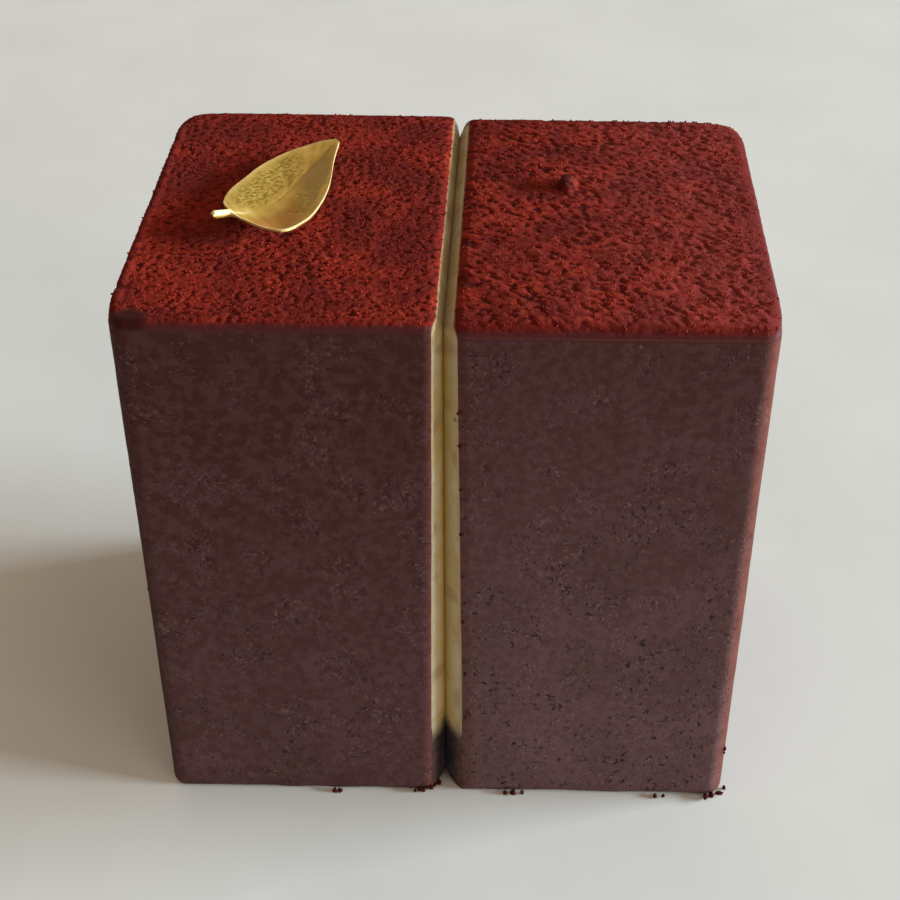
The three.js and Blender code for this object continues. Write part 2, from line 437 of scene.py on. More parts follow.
def cocoa_nodes(tree):
    grain_of = place_group(tree, grain, Size=0.9)
    swell_of = place_group(tree, grain, Size=6.0)
    clump, thin, drop = [painted(tree, name) for name in ("clump", "thin", "drop")]
    colour = mix(tree, between(tree, clump, *POCKETS), COCOA_POCKET, COCOA_BODY)
    colour = mix(tree, between(tree, clump, *TIPS), colour, COCOA_TIP)
    dark = mix(tree, COCOA_MOTTLE, colour, COCOA_POCKET)
    colour = layered(
        tree,
        mix(tree, grain_of["Mottle"], dark, colour),
        (between(tree, swell_of["Mottle"], 0.0, 1.0, COCOA_SWELL, 0.0), COCOA_SHADE),
        (painted(tree, "pale"), COCOA_SHEEN),
        (painted(tree, "shade"), COCOA_SHADE),
        (thin, THIN_COCOA),
        (painted(tree, "hem_line"), HEM_LINE),
        (drop, DARK_DROP_AND_SHADE),
        (between(tree, painted(tree, "under"), 0.0, 0.25), COCOA_UNDER),
    )
    matte = between(tree, thin, 0.0, 1.0, COCOA_ROUGH, HEM_ROUGH)
    roughness = math_of(tree, "MULTIPLY_ADD", drop, DROP_GLOSS, matte)
    grit = times(tree, grain_of["Grit"], math_of(tree, "SUBTRACT", 1.0, thin))
    return colour, roughness, grit, 0.12


cocoa_finish = finish_material("cocoa_dusting", cocoa_nodes, Specular_IOR_Level=0.14)

# %% [markdown]
# ## The cocoa dusting
# On top lies a sheet of cocoa that clumps as it takes up moisture, and it runs over the round edges and thins
# out on the walls. Displacing a flat plane would stretch at the edges. Instead the sheet is laid out flat in
# two lengths, across and along, and each point is bent over the edge by the arc that it has run past it. At
# the outer corners the longer of the two arcs counts, which rounds the corner like a ball.

# %% Lay the sheet over one half
COCOA_STEP = 0.15
COCOA_STRIDE = 6
HEM = 0.5


def cocoa_layout(half):
    """Points and normals of the sheet without clumps, and how much of the turn each has run, both ways."""
    edge, quarter = half.edge, half.edge * math.pi / 2
    over = quarter + HEM
    flat_long = BACK - FRONT - 2 * edge
    long_cells = cells_over(flat_long + 2 * over, COCOA_STEP, COCOA_STRIDE)
    run = np.linspace(-over, flat_long + over, long_cells + 1)[:, None]
    across_cells = cells_over(OUTER - edge + over, COCOA_STEP, COCOA_STRIDE)
    over_cells = round(over / COCOA_STEP)
    column, flat_cells = np.arange(across_cells + 1)[None, :], across_cells - over_cells
    share = np.minimum(1, column / flat_cells)
    past_across = np.maximum(0, column - flat_cells) * over / over_cells + 0 * run
    past_long = np.maximum(0, np.maximum(-run, run - flat_long)) + 0 * share
    arc = np.maximum(past_across, past_long)
    longer = np.maximum(arc, 1e-9)
    shorter = np.minimum(past_across, past_long)
    plan = np.where(past_across >= past_long, shorter / longer, 2 - shorter / longer) * math.pi / 4
    plan = np.where(arc > 0, plan, 0)
    tilt = np.minimum(arc / edge, math.pi / 2)
    way = np.where(run < flat_long / 2, -1, 1)
    normal = np.stack([np.sin(tilt) * np.cos(plan), way * np.sin(tilt) * np.sin(plan), np.cos(tilt)], axis=-1)
    y = FRONT + edge + np.clip(run, 0, flat_long) + edge * normal[..., 1]
    z = HEIGHT - edge + edge * normal[..., 2] - np.maximum(0, arc - quarter)
    start = cut_at(half, y, z)
    x = start + (OUTER - edge - start) * share + edge * normal[..., 0]
    return np.stack([x, y, z], axis=-1), normal, past_long / quarter, past_across / quarter


for name, half in HALVES.items():
    points, _, past_front, _ = cocoa_layout(half)
    print(f"{name} sheet: {points.shape[0]} by {points.shape[1]} points, {past_front.max():.2f} of the turn")

# %% [markdown]
# Two fine noises make the clumps, drawn out along the way in which the powder was swept, and a broad one lets
# the whole sheet swell. Where both fine ones are low, small pits open. Towards the outer edges the powder
# lies a little calmer.

# %% Say how high the powder lies
CLUMPS = [(0.72, 0.085), (0.38, 0.06), (5.0, 0.1)]
CLUMP_LEAN = math.radians(-35)
TONE = Spec(middle=0.55, clumps=0.5, pits=0.3)
PITS = Spec(depth=0.06, fine=0.6, swell=0.3, low=0.2, high=0.5)
CALM = Spec(reach=2.2, share=0.15, tone=0.6)
RAGGED = Spec(swell=0.08, clump=-0.1)


def streaked(points, stretch):
    """The points drawn together along the way in which the powder was swept, so that clumps get longer."""
    x, y, z = np.moveaxis(points, -1, 0)
    along = x * math.cos(CLUMP_LEAN) + y * math.sin(CLUMP_LEAN)
    aside = y * math.cos(CLUMP_LEAN) - x * math.sin(CLUMP_LEAN)
    return np.stack([along / stretch, aside, z], axis=-1)


def powder(half, points, seed):
    """Height of the clumps, their tone from pocket to tip, the broad swell and how ragged a hem is there."""
    streaks = streaked(points, half.stretch)
    clump, fine, swell = [noise_at(streaks, size, seed + n) for n, (size, _) in enumerate(CLUMPS)]
    x, y, _ = np.moveaxis(points, -1, 0)
    pits = smooth_step(PITS.low, PITS.high, -clump - PITS.fine * fine + PITS.swell * swell)
    tone = np.clip(TONE.middle + TONE.clumps * (clump + fine) - TONE.pits * pits, 0, 1)
    relief = sum(rise * part for part, (_, rise) in zip((clump, fine, swell), CLUMPS))
    from_edge = np.minimum(OUTER - x, BACK - np.abs(y)) + swell
    calm = CALM.share * (1 - smooth_step(half.edge, CALM.reach, from_edge))
    relief = (relief - PITS.depth * pits) * (1 - calm)
    tone += (CALM.tone - tone) * calm
    return relief, tone, swell, RAGGED.swell * swell + RAGGED.clump * clump


print(f"clumps: {CLUMPS[0][0]} mm long at the least, {CLUMPS[0][1]} mm high")

# %% [markdown]
# Over the edges the powder thins out to the bare coat, and on the side and back edges it has gathered in a
# soft roll. At the left front corner it has run into a smooth dark drop, and one large crumb sits on the
# right half. Sculpting them would be quick too, but a few formulas can be measured and moved.

# %% Shape the hems, the drop and the large crumb
LINE = Spec(half="right", at=0.9, width=0.03, share=0.15, ragged=0.3)
DROP = Spec(half="left", centre=(35.2, -26.2, 74.4), radius=2.6, fade=(0.45, 1.15), uneven=0.1, height=0.3)
LUMP = Spec(half="right", centre=(14.0, 6.8), radius=1.5, height=1.3, shade=0.85, grain=1.1, uneven=0.45)
BACK_SWELL = 0.35
SWELL_LEAN = 1.6
CORNER_FADE = (0.5, 6.0)
HEM_DIP = 0.3


def hems(name, half, turned, ragged):
    """How thin the powder is over the edges, and the pale line along one front hem."""
    past_front, past_side = turned
    thin = smooth_step(*half.front_hem, past_front + ragged)
    thin = np.maximum(thin, smooth_step(*half.side_hem, past_side + ragged))
    line = np.exp(-(((past_front - LINE.at + LINE.ragged * ragged) / LINE.width) ** 2))
    return thin, (LINE.share if name == LINE.half else 0) * line


def drop_at(points, swell):
    away = np.linalg.norm(points - DROP.centre, axis=-1) / DROP.radius
    drop = 1 - smooth_step(*DROP.fade, away + DROP.uneven * swell)
    return drop, DROP.height * drop * np.maximum(0, 1 - away**2)


def crumb_at(points, seed):
    away = np.linalg.norm(points[..., :2] - LUMP.centre, axis=-1) / LUMP.radius
    away += LUMP.uneven * noise_at(points, LUMP.grain, seed)
    return np.sqrt(1 - np.clip(away, 0, 1) ** 2)


def edge_roll(half, points, turned):
    """The soft roll over the side and back edges, and the dip of the hem into the coat."""
    past_front, past_side = turned
    x, y, _ = np.moveaxis(points, -1, 0)
    side, back = [
        smooth_step(*CORNER_FADE, off_corner) * np.sin(math.pi * np.clip(past, 0, 1) ** SWELL_LEAN)
        for off_corner, past in ((BACK - np.abs(y), past_side), (OUTER - x, np.where(y > 0, past_front, 0)))
    ]
    dip = smooth_step(1.0, 1.0 + HEM / half.edge, np.maximum(past_front, past_side))
    return half.side_swell * side + BACK_SWELL * back - HEM_DIP * dip


print(f"drop: {DROP.radius} mm, large crumb: {LUMP.radius} mm wide and {LUMP.height} mm high")

# %% [markdown]
# Now the sheet is raised by the sum of these heights. Its rim at the cut slides along the rolled face as it
# moves, so that it stays flush with the coat and the cream. The same values, painted on the vertices, tell
# the finish where the powder is dark or thin, where painted shade falls and where a painted sheen shows.

# %% Make the two dustings
HEM_CALM = 0.85
RIM_FOLLOWS = 1.5
UNDER_FOLLOWS = 0.8
# A painted sheen, growing towards the right, and painted shade where the powder turns over the edges.
PAINTED_SHEEN = Spec(share=0.4, start=0.1)
TURN_SHADE = Spec(full_at=0.6, front=0.7)


def sheet_moved(half, points, normal, amount, follow=1.0):
    """The sheet moved along its normals, with its rim at the cut kept on the rolled face of the cut."""
    moved = points + normal * amount
    near = follow * (1 - smooth_step(0.0, RIM_FOLLOWS, off_cut(half, points)))
    start, end = [cut_at(half, spot[..., 1], spot[..., 2]) for spot in (points, moved)]
    moved[..., 0] += near * (end - start)
    return in_place(half, moved)


def cocoa_dusting(name, half, seed):
    points, normal, *turned = cocoa_layout(half)
    relief, tone, swell, ragged = powder(half, points, seed)
    thin, line = hems(name, half, turned, ragged)
    drop = 0 * thin
    if name == DROP.half:
        drop, rise = drop_at(points, swell)
        thin = np.maximum(thin, drop)
        relief += rise
    relief *= 1 - HEM_CALM * thin
    if name == LUMP.half:
        mound = crumb_at(points, seed + 6)
        relief += LUMP.height * mound
        # Painted shade: the large crumb is painted dark, standing in for the shade on its front.
        drop = LUMP.shade * mound
    relief += edge_roll(half, points, turned)
    relief -= lip(CUT_LIP, off_cut(half, points))
    shown = sheet_moved(half, points, normal, relief[..., None])
    hidden = sheet_moved(half, points, normal, -COCOA_DEPTH, UNDER_FOLLOWS)[::COCOA_STRIDE, ::COCOA_STRIDE]
    piece = closed_skin(f"{name}_cocoa_dusting", shown, hidden)
    # Painted sheen towards the right, and painted shade on the turned edges.
    pale = PAINTED_SHEEN.share * smooth_step(PAINTED_SHEEN.start * OUTER, OUTER, half.side * points[..., 0])
    bent = np.maximum(turned[1], TURN_SHADE.front * turned[0])
    shade = half.turn_shade * smooth_step(0.0, TURN_SHADE.full_at, bent)
    under = np.repeat([0.0, 1.0], [thin.size, hidden[..., 0].size])
    paint(piece, clump=tone, thin=thin, pale=pale, shade=shade, hem_line=line, drop=drop, under=under)
    dress(piece, "cocoa", cocoa_finish, f"{name}_cocoa")
    return shown, normal * [half.side, 1, 1], thin


dusting = {name: cocoa_dusting(name, half, 11 + 10 * half.side) for name, half in HALVES.items()}

# %% [markdown]
# ## The finish of the coat
# The coat is a dull brown film with a greyish bloom, tiny paler flecks, dark pits and fine scratches. The
# bloom carries painted bounce light, so it grows towards the foot and on the right half, and the outer sides
# get a darker brown copy of the colour against the panel's strong light. The pits are painted dark as painted
# shade, the right half's upright corners get a redder painted highlight, and the rims at the cut are worn
# redder. Grain, placed here in five sizes, makes the unevenness, flecks and pits, and Hairlines makes the
# scratches. Bloom and painted light, wear and the cut edge, which is smeared with cream, follow values
# painted on the mesh.

# %% Make the coat finish
COAT_BARE = linear(61, 25, 24)
COAT_BLOOM_AND_LIGHT = linear(99, 72, 74)
COAT_OLIVE = linear(61, 39, 32)
COAT_SPECK = linear(128, 102, 98)
# Painted shade in the pits.
COAT_PIT_SHADE = linear(24, 13, 12)
# Painted highlight on the right half's upright corners, and wear at the cut rims.
COAT_WEAR_AND_HIGHLIGHT = linear(152, 72, 44)
COAT_UNDER = linear(176, 156, 122)
COAT_SIDE = linear(74, 42, 32)
SHARES = Spec(olive=0.25, side=0.75, hairs=0.4, dots=0.36, holes=0.7, worn=0.6)
UNEVEN_BLOOM_AND_LIGHT = 0.14
SCUFFS_BY_BLOOM_AND_LIGHT = 0.7
SIDE_SCUFFS = 0.45
HAIR_DEPTH = 0.4


def coat_nodes(tree):
    film = place_group(tree, grain, Size=1.2)
    patches = place_group(tree, grain, Size=5.5)
    stains = place_group(tree, grain, Size=9.0)
    flecks = place_group(tree, grain, Size=0.5)["Mottle"]
    pits = place_group(tree, grain, Size=0.7, Detail=2.0)["Mottle"]
    hairs = place_group(tree, hairlines, Size=3.0, Width=0.007, Share=0.36)["Mask"]
    bloom, side, worn, under = [painted(tree, name) for name in ("bloom", "side", "worn", "under")]
    uneven = between(tree, film["Mottle"], 0.0, 1.0, -UNEVEN_BLOOM_AND_LIGHT, UNEVEN_BLOOM_AND_LIGHT)
    spread = math_of(tree, "MULTIPLY_ADD", bloom, SCUFFS_BY_BLOOM_AND_LIGHT, patches["Mottle"])
    scuffed = between(tree, spread, 0.3, 1.6, 0.08, 1.25)
    scuffed = times(tree, scuffed, between(tree, side, 0.0, 1.0, 1.0, SIDE_SCUFFS))
    dots = times(tree, between(tree, flecks, 0.74, 1.0), scuffed)
    holes = times(tree, between(tree, pits, 0.14, 0.0), scuffed)
    hairs = times(tree, hairs, scuffed)
    # Painted bounce light: the bloom mix makes the front paler towards the foot and on the right half. The
    # outer sides get a darker brown copy of the colour, against the strong panel light on the right one.
    colour = layered(
        tree,
        mix(tree, math_of(tree, "ADD", bloom, uneven), COAT_BARE, COAT_BLOOM_AND_LIGHT),
        (between(tree, stains["Mottle"], 0.0, 1.0, 0.0, SHARES.olive), COAT_OLIVE),
        (times(tree, side, SHARES.side), COAT_SIDE),
        (times(tree, hairs, SHARES.hairs), COAT_SPECK),
        (times(tree, dots, SHARES.dots), COAT_SPECK),
        (times(tree, holes, SHARES.holes), COAT_PIT_SHADE),
        (times(tree, worn, SHARES.worn), COAT_WEAR_AND_HIGHLIGHT),
        (between(tree, under, 0.05, 0.3), COAT_UNDER),
    )
    roughness = between(tree, film["Grit"], 0.3, 0.7, 0.55, 0.8)
    raised = times(tree, math_of(tree, "ADD", film["Grit"], dots), 0.5)
    sunk = math_of(tree, "MULTIPLY_ADD", hairs, HAIR_DEPTH, holes)
    return colour, roughness, math_of(tree, "SUBTRACT", raised, sunk), 0.08


coat_finish = finish_material("chocolate_film", coat_nodes, Specular_IOR_Level=0.15)

# %% [markdown]
# ## The coat
# The coat runs from one rim of the cut, across the front, round the outer side and across the back to the
# other rim. Its grid therefore has columns along that path and rows up the wall and over the top edge. A
# shell cut out of a box would spread its faces evenly. Here the columns stand closest on the front, where
# pin holes and dents are modelled.

# %% Follow the coat's path round one half
COAT_DEPTH = 0.6
COAT_STRIDE = 4
COAT_STEP = dict(front=0.28, turn=0.3, side=0.5, back=0.5, up=0.36)
UNDER_COCOA = 0.25
TOP_TILT = math.radians(78)


def coat_path(half):
    """For each column: share of the way out from the cut, depth of its centre, and its outward direction."""
    edge, quarter = half.edge, math.pi / 2
    near, far = FRONT + edge, BACK - edge
    sections = [
        ("front", OUTER - edge, (0, 1), (near, near), (-quarter, -quarter)),
        ("turn", edge * quarter, (1, 1), (near, near), (-quarter, 0)),
        ("side", far - near, (1, 1), (near, far), (0, 0)),
        ("turn", edge * quarter, (1, 1), (far, far), (0, quarter)),
        ("back", OUTER - edge, (1, 0), (far, far), (quarter, quarter)),
    ]
    columns = [[(0, near, -quarter)]]
    for step, length, *ends in sections:
        cells = cells_over(length, COAT_STEP[step], COAT_STRIDE)
        columns.append(np.linspace(*np.transpose(ends), cells + 1)[1:])
    return np.concatenate(columns).T


def coat_rise(half):
    """For each row: height of its centre and its tilt over the top edge."""
    edge = half.edge
    wall_top = HEIGHT - UNDER_COCOA - edge
    wall_cells = cells_over(wall_top - COAT_FOOT, COAT_STEP["up"], COAT_STRIDE)
    tilt_cells = cells_over(edge * TOP_TILT, COAT_STEP["turn"], COAT_STRIDE)
    centre = np.concatenate([np.linspace(COAT_FOOT, wall_top, wall_cells + 1), np.full(tilt_cells, wall_top)])
    tilt = np.concatenate([np.zeros(wall_cells + 1), np.linspace(0, TOP_TILT, tilt_cells + 1)[1:]])
    return centre, tilt


for name, half in HALVES.items():
    print(f"{name} coat: {len(coat_path(half)[0])} columns, {len(coat_rise(half)[0])} rows")

# %% [markdown]
# A few pin holes in the film are large enough to be shapes of their own, each with a low raised ring. They
# are given by place, radius and depth, and the coat's grid is fine enough to carry them, so no Boolean is
# needed.

# %% Sink the pin holes
HOLE_RING = Spec(share=0.25, at=1.25, width=0.3)
HOLE_FLOOR = 0.3
PIN_HOLES = [
    (5.0, 55.5, 0.6, 0.3), (26.1, 14.0, 0.45, 0.22), (21.7, 2.6, 0.5, 0.25), (-10.7, 20.8, 0.5, 0.28),
    (9.1, 33.0, 0.4, 0.16), (31.5, 50.4, 0.38, 0.15), (-24.3, 47.5, 0.36, 0.14), (-29.8, 12.2, 0.4, 0.16),
]


def coat_point(half, grow):
    """Points of the coat's outer face, moved out by that much."""
    out, depth, heading = [values[:, None] for values in coat_path(half)]
    centre, tilt = [values[None, :] for values in coat_rise(half)]
    reach = half.edge + grow
    flat = reach * np.cos(tilt)
    y = depth + flat * np.sin(heading)
    z = centre + reach * np.sin(tilt) + 0 * y
    start = cut_at(half, y, z)
    x = start + (OUTER - half.edge - start) * out + flat * np.cos(heading)
    return np.stack([x, y, z], axis=-1), out * (OUTER - half.edge - start)


def pin_holes(half, points):
    """How deep the front face is pushed in."""
    depth = 0 * points[..., 0]
    for x, z, radius, deep in PIN_HOLES:
        off = np.hypot(half.side * points[..., 0] - x, points[..., 2] - z) / radius
        ring = np.exp(-(((off - HOLE_RING.at) / HOLE_RING.width) ** 2))
        depth += deep * (1 - smooth_step(HOLE_FLOOR, 1.0, off) - HOLE_RING.share * ring)
    return np.where(points[..., 1] < FRONT + half.edge, depth, 0)


for name, half in HALVES.items():
    print(f"{name} coat: deepest hole {pin_holes(half, coat_point(half, 0)[0]).max():.2f} mm")

# %% [markdown]
# The film is not flat: it swells a little, turns in softly at the foot and at the cut, and hangs in a slight
# wave over the base. Its bloom, with painted bounce light, grows towards the foot, the right half's corners
# get a painted highlight and the rims are worn.

# %% Make the two coats
SWELLS = [(14.0, 0.07), (5.0, 0.035), (1.2, 0.012)]
FOOT_LIP = Spec(reach=0.9, depth=0.3)
FOOT_WAVE = Spec(depth=0.25, size=4.0, reach=3.0, lowest=0.05)
FILM_STAIN = (1.5, 6.0)
CORNER_HIGHLIGHT = Spec(foot=0.8, more=0.2)
RIM_WEAR = 0.6
WEAR_AND_HIGHLIGHT_NOISE = Spec(size=2.0, middle=0.8, reach=0.4)
FACING = 0.99


def chocolate_coat(name, half, seed):
    points, from_cut = coat_point(half, 0)
    heading = coat_path(half)[2][:, None]
    facing = np.abs(np.sin(heading))
    at_walls = facing > FACING
    up = points[..., 2] - COAT_FOOT
    grow = sum(height * noise_at(points, size, seed + n) for n, (size, height) in enumerate(SWELLS))
    grow = grow - lip(CUT_LIP, np.where(at_walls, from_cut, CUT_LIP.reach)) - lip(FOOT_LIP, up)
    shown = coat_point(half, grow - pin_holes(half, points))[0]
    wave = FOOT_WAVE.depth * (0.5 + noise_at(points, FOOT_WAVE.size, seed + 5))
    sag = wave * np.maximum(0, 1 - up / FOOT_WAVE.reach)
    shown[..., 2] = np.maximum(FOOT_WAVE.lowest, shown[..., 2] - sag)
    hidden = coat_point(half, -COAT_DEPTH)[0][::COAT_STRIDE, ::COAT_STRIDE]
    piece = closed_skin(f"{name}_chocolate_coat", in_place(half, shown), in_place(half, hidden))
    high = points[..., 2] / HEIGHT
    # Painted highlight: the right half's upright corners are painted redder, where the panel light catches
    # them.
    corner = half.worn * np.abs(np.sin(2 * heading)) * (CORNER_HIGHLIGHT.foot + CORNER_HIGHLIGHT.more * high)
    rim = half.rim_worn * np.where(at_walls, np.maximum(0, 1 - from_cut / RIM_WEAR), 0)
    patchy = WEAR_AND_HIGHLIGHT_NOISE.middle + WEAR_AND_HIGHLIGHT_NOISE.reach * noise_at(points, WEAR_AND_HIGHLIGHT_NOISE.size, seed + 7)
    clean = smooth_step(*FILM_STAIN, hidden[..., 2] - BASE_TOP)
    # The bloom value is painted bounce light, growing from the top to the foot.
    top_bloom_and_light, foot_bloom_and_light = half.bloom
    paint(
        piece,
        worn=np.maximum(corner, rim) * patchy,
        under=np.concatenate([np.zeros(high.size), clean.ravel()]),
        side=1 - np.minimum(1, 2 * facing**2) + 0 * high,
        bloom=(top_bloom_and_light + (foot_bloom_and_light - top_bloom_and_light) * (1 - high)) * facing**4,
    )
    dress(piece, "chocolate_coat", coat_finish, f"{name}_coat")


for name, half in HALVES.items():
    chocolate_coat(name, half, 40 + 10 * half.side)

# %% [markdown]
# ## The finish of the cream
# The cream is pale, dense and a little see-through, so light goes into it and comes back warmer. That is
# what Subsurface is for. The knife has dragged a few cocoa specks over it, deep in the cut it is painted a
# darker olive as painted shade, and at the foot it is soaked by the dark base.

# %% Make the cream finish
CREAM_PALE = linear(192, 175, 143)
CREAM_DEEP = linear(178, 156, 112)
CREAM_CREVICE_SHADE = linear(172, 140, 56)
CREAM_SMEAR = linear(120, 78, 48)
CREAM_SOAKED = linear(24, 17, 19)
SOAKED_RIM = linear(74, 50, 42)
SMEAR_SHARE, DOT_SHARE = 0.7, 0.8


def cream_nodes(tree):
    body = place_group(tree, grain, Size=4.0)
    dots = place_group(tree, specks, Spacing=2.6, Width=0.2, Share=0.4)["Mask"]
    colour = layered(
        tree,
        mix(tree, body["Mottle"], CREAM_DEEP, CREAM_PALE),
        (painted(tree, "crevice"), CREAM_CREVICE_SHADE),
        (times(tree, painted(tree, "smear"), SMEAR_SHARE), CREAM_SMEAR),
        (times(tree, dots, DOT_SHARE), CREAM_SMEAR),
        (painted(tree, "soak"), mix(tree, painted(tree, "core"), SOAKED_RIM, CREAM_SOAKED)),
    )
    return colour, between(tree, body["Grit"], 0.3, 0.7, 0.4, 0.6), body["Grit"], 0.08


cream_finish = finish_material(
    "pale_cream",
    cream_nodes,
    Subsurface_Weight=0.9,
    Subsurface_Radius=(1.0, 0.7, 0.35),
    Subsurface_Scale=2.5 * MM,
    Specular_IOR_Level=0.4,
)

# %% [markdown]
# ## The cream and the base
# Both layers run right through each half and show only at the cut. The face at the cut is the fine grid, and
# the far side of the same closed skin lies just behind the coat. The outline follows the round top edges,
# so that no corner comes through the cocoa.

# %% Make the layers that show at the cut
LAYER_STEP = 0.5
LAYER_STRIDE = 4
BEHIND_COAT = 0.46
FAR_INSET = 1.5
CREAM_CROWN = 0.6


def layer_face(half, low, high, seed, relief):
    """The cut face of one layer, from its foot to its top, with its relief."""
    rows = cells_over(high - low, LAYER_STEP, LAYER_STRIDE)
    columns = cells_over(BACK - FRONT, LAYER_STEP, LAYER_STRIDE)
    z = np.linspace(low, high, rows + 1)[:, None]
    inner = half.edge - BEHIND_COAT
    rise = np.maximum(0, z - (HEIGHT - half.edge))
    inset = half.edge - np.sqrt(np.maximum(0, inner**2 - rise**2))
    y = FRONT + inset + (BACK - FRONT - 2 * inset) * np.linspace(0, 1, columns + 1)[None, :]
    z = z + 0 * y
    face = np.stack([cut_at(half, y, z), y, z], axis=-1)
    for n, (size, height) in enumerate(relief):
        face[..., 0] += height * noise_at(face, size, seed + n)
    return face


def layer_block(name, half, face, far_low, far_high):
    rows, columns = [(count - 1) // LAYER_STRIDE + 1 for count in face.shape[:2]]
    z = np.linspace(far_low, far_high, rows)[:, None] + np.zeros((1, columns))
    y = np.linspace(FRONT + FAR_INSET, BACK - FAR_INSET, columns)[None, :] + 0 * z
    far = np.stack([0 * y + OUTER - FAR_INSET, y, z], axis=-1)
    return closed_skin(name, in_place(half, face), in_place(half, far))


CREAM_RELIEF = [(7.0, 0.04), (2.2, 0.03), (0.9, 0.02)]
CREVICE_SHADE = (1.0, 2.4)
SOAK_RISE = (1.8, 5.4)
SOAK_LEAN = 1.3
SOAK_WAVE = Spec(size=1.5, height=0.9)
SOAK_CORE = (0.5, 1.3)
SMEARS = Spec(size=2.4, low=0.25, high=0.6, share=0.5, reach=(1.0, 5.0))
for name, half in HALVES.items():
    seed = 70 + 10 * half.side
    crown = HEIGHT - CREAM_CROWN
    face = layer_face(half, BASE_TOP, crown, seed, CREAM_RELIEF)
    piece = layer_block(f"{name}_cream_filling", half, face, BASE_TOP, crown - half.edge)
    rim = np.minimum(face[..., 1] - FRONT, crown - face[..., 2])
    # Painted shade: deeper in the cut, away from the front and the top, the cream is painted olive.
    crevice = smooth_step(*CREVICE_SHADE, rim)
    wave = SOAK_WAVE.height * noise_at(face, SOAK_WAVE.size, seed + 4)
    soak = 1 - smooth_step(*SOAK_RISE, face[..., 2] - BASE_TOP + wave - SOAK_LEAN * crevice)
    smear = smooth_step(SMEARS.low, SMEARS.high, noise_at(face, SMEARS.size, seed + 5))
    smear *= SMEARS.share * (1 - smooth_step(*SMEARS.reach, rim))
    core = smooth_step(*SOAK_CORE, face[..., 1] - FRONT)
    paint(piece, crevice=crevice, smear=smear, soak=soak, core=core)
    dress(piece, "cream", cream_finish, f"{name}_cream")

# %% [markdown]
# ## The dark base
# The base is a thin, nearly black, crumbly layer, brown at its rim where the coat has smeared. Its finish is
# Grain and Specks again, with dark values, and its cut face has a coarser relief, because crumb breaks rather
# than cuts.

# %% Make the base finish and the two bases
BASE_DARK = linear(20, 18, 22)
BASE_PALE = linear(46, 38, 40)
BASE_SPECK = linear(96, 92, 98)
BASE_BLACK = linear(14, 11, 15)
BASE_RIM = linear(80, 52, 48)
BASE_RELIEF = [(3.0, 0.15), (0.9, 0.14)]
BASE_SPECK_SHARE = 0.6
BASE_WAVE = Spec(size=1.6, height=0.4)
BLACK_TOP = Spec(low=0.35, high=0.9, share=0.85)
BROWN_RIM = (0.5, 1.5)


def base_nodes(tree):
    crumb = place_group(tree, grain, Size=1.1)
    dots = place_group(tree, specks, Spacing=1.0, Width=0.25, Share=0.25)["Mask"]
    colour = layered(
        tree,
        mix(tree, crumb["Mottle"], BASE_DARK, BASE_PALE),
        (times(tree, dots, BASE_SPECK_SHARE), BASE_SPECK),
        (painted(tree, "top"), BASE_BLACK),
        (painted(tree, "rim"), BASE_RIM),
    )
    return colour, between(tree, crumb["Grit"], 0.3, 0.7, 0.5, 0.85), crumb["Grit"], 0.15


base_finish = finish_material("dark_crumb", base_nodes, Specular_IOR_Level=0.25)
for name, half in HALVES.items():
    face = layer_face(half, 0.0, BASE_TOP, 100 + 10 * half.side, BASE_RELIEF)
    piece = layer_block(f"{name}_dark_base", half, face, 0.0, BASE_TOP)
    wave = BASE_WAVE.height * noise_at(face, BASE_WAVE.size, 110 + 10 * half.side)
    top = smooth_step(BLACK_TOP.low, BLACK_TOP.high, face[..., 2] / BASE_TOP + wave)
    rim = 1 - smooth_step(*BROWN_RIM, face[..., 1] - FRONT + wave)
    paint(piece, top=BLACK_TOP.share * top, rim=rim)
    dress(piece, "dark_base", base_finish, f"{name}_base")

# %% [markdown]
# ## The finish of the gilding
# The leaf is a natural leaf under thin metal. It reflects like dull brass, olive where the film is thin, with
# small dark dapples. Low in its cup a warm painted reflection of the cocoa, a painted shade on the near half
# beside the vein and a pale painted highlight along the rims and part of the vein are mixed in, and the stalk
# is pale. A metallic Principled BSDF with colour, roughness and metal mixed by values painted on the mesh
# does this.

# %% Make the gilded finish
GOLD = linear(248, 210, 110)
GOLD_OLIVE = linear(216, 180, 80)
GOLD_DAPPLE = linear(160, 138, 34)
# Painted reflection of the warm cocoa, low in the cup.
GOLD_WARM_REFLECTION = linear(206, 138, 50)
# Painted shade on the near half beside the vein, where the raised near rim shades it.
GOLD_SHADE = linear(186, 156, 92)
# Painted highlight along the rims and part of the vein, also used for the pale stalk.
GOLD_RIM_HIGHLIGHT = linear(248, 228, 172)
GILDING = Spec(warm=0.75, dull=0.8, dapple=0.85, rough=(0.42, 0.56), metal=(0.65, 0.3))


def gilded_nodes(tree):
    patches = place_group(tree, grain, Size=4.5)
    crinkle = place_group(tree, grain, Size=1.1)
    dots = place_group(tree, grain, Size=0.55, Detail=8.0)["Mottle"]
    rim = painted(tree, "rim")
    dots = between(tree, dots, 0.2, 0.85, 0.0, GILDING.dapple)
    colour = layered(
        tree,
        mix(tree, patches["Mottle"], GOLD_OLIVE, GOLD),
        (times(tree, painted(tree, "warm"), GILDING.warm), GOLD_WARM_REFLECTION),
        (times(tree, painted(tree, "dull"), GILDING.dull), GOLD_SHADE),
        (times(tree, painted(tree, "dapple"), dots), GOLD_DAPPLE),
        (rim, GOLD_RIM_HIGHLIGHT),
    )
    roughness = between(tree, crinkle["Mottle"], 0.0, 1.0, *GILDING.rough)
    metal = between(tree, rim, 0.0, 1.0, *GILDING.metal)
    return colour, roughness, crinkle["Grit"], 0.04, metal


gilded_finish = finish_material("gilding", gilded_nodes)

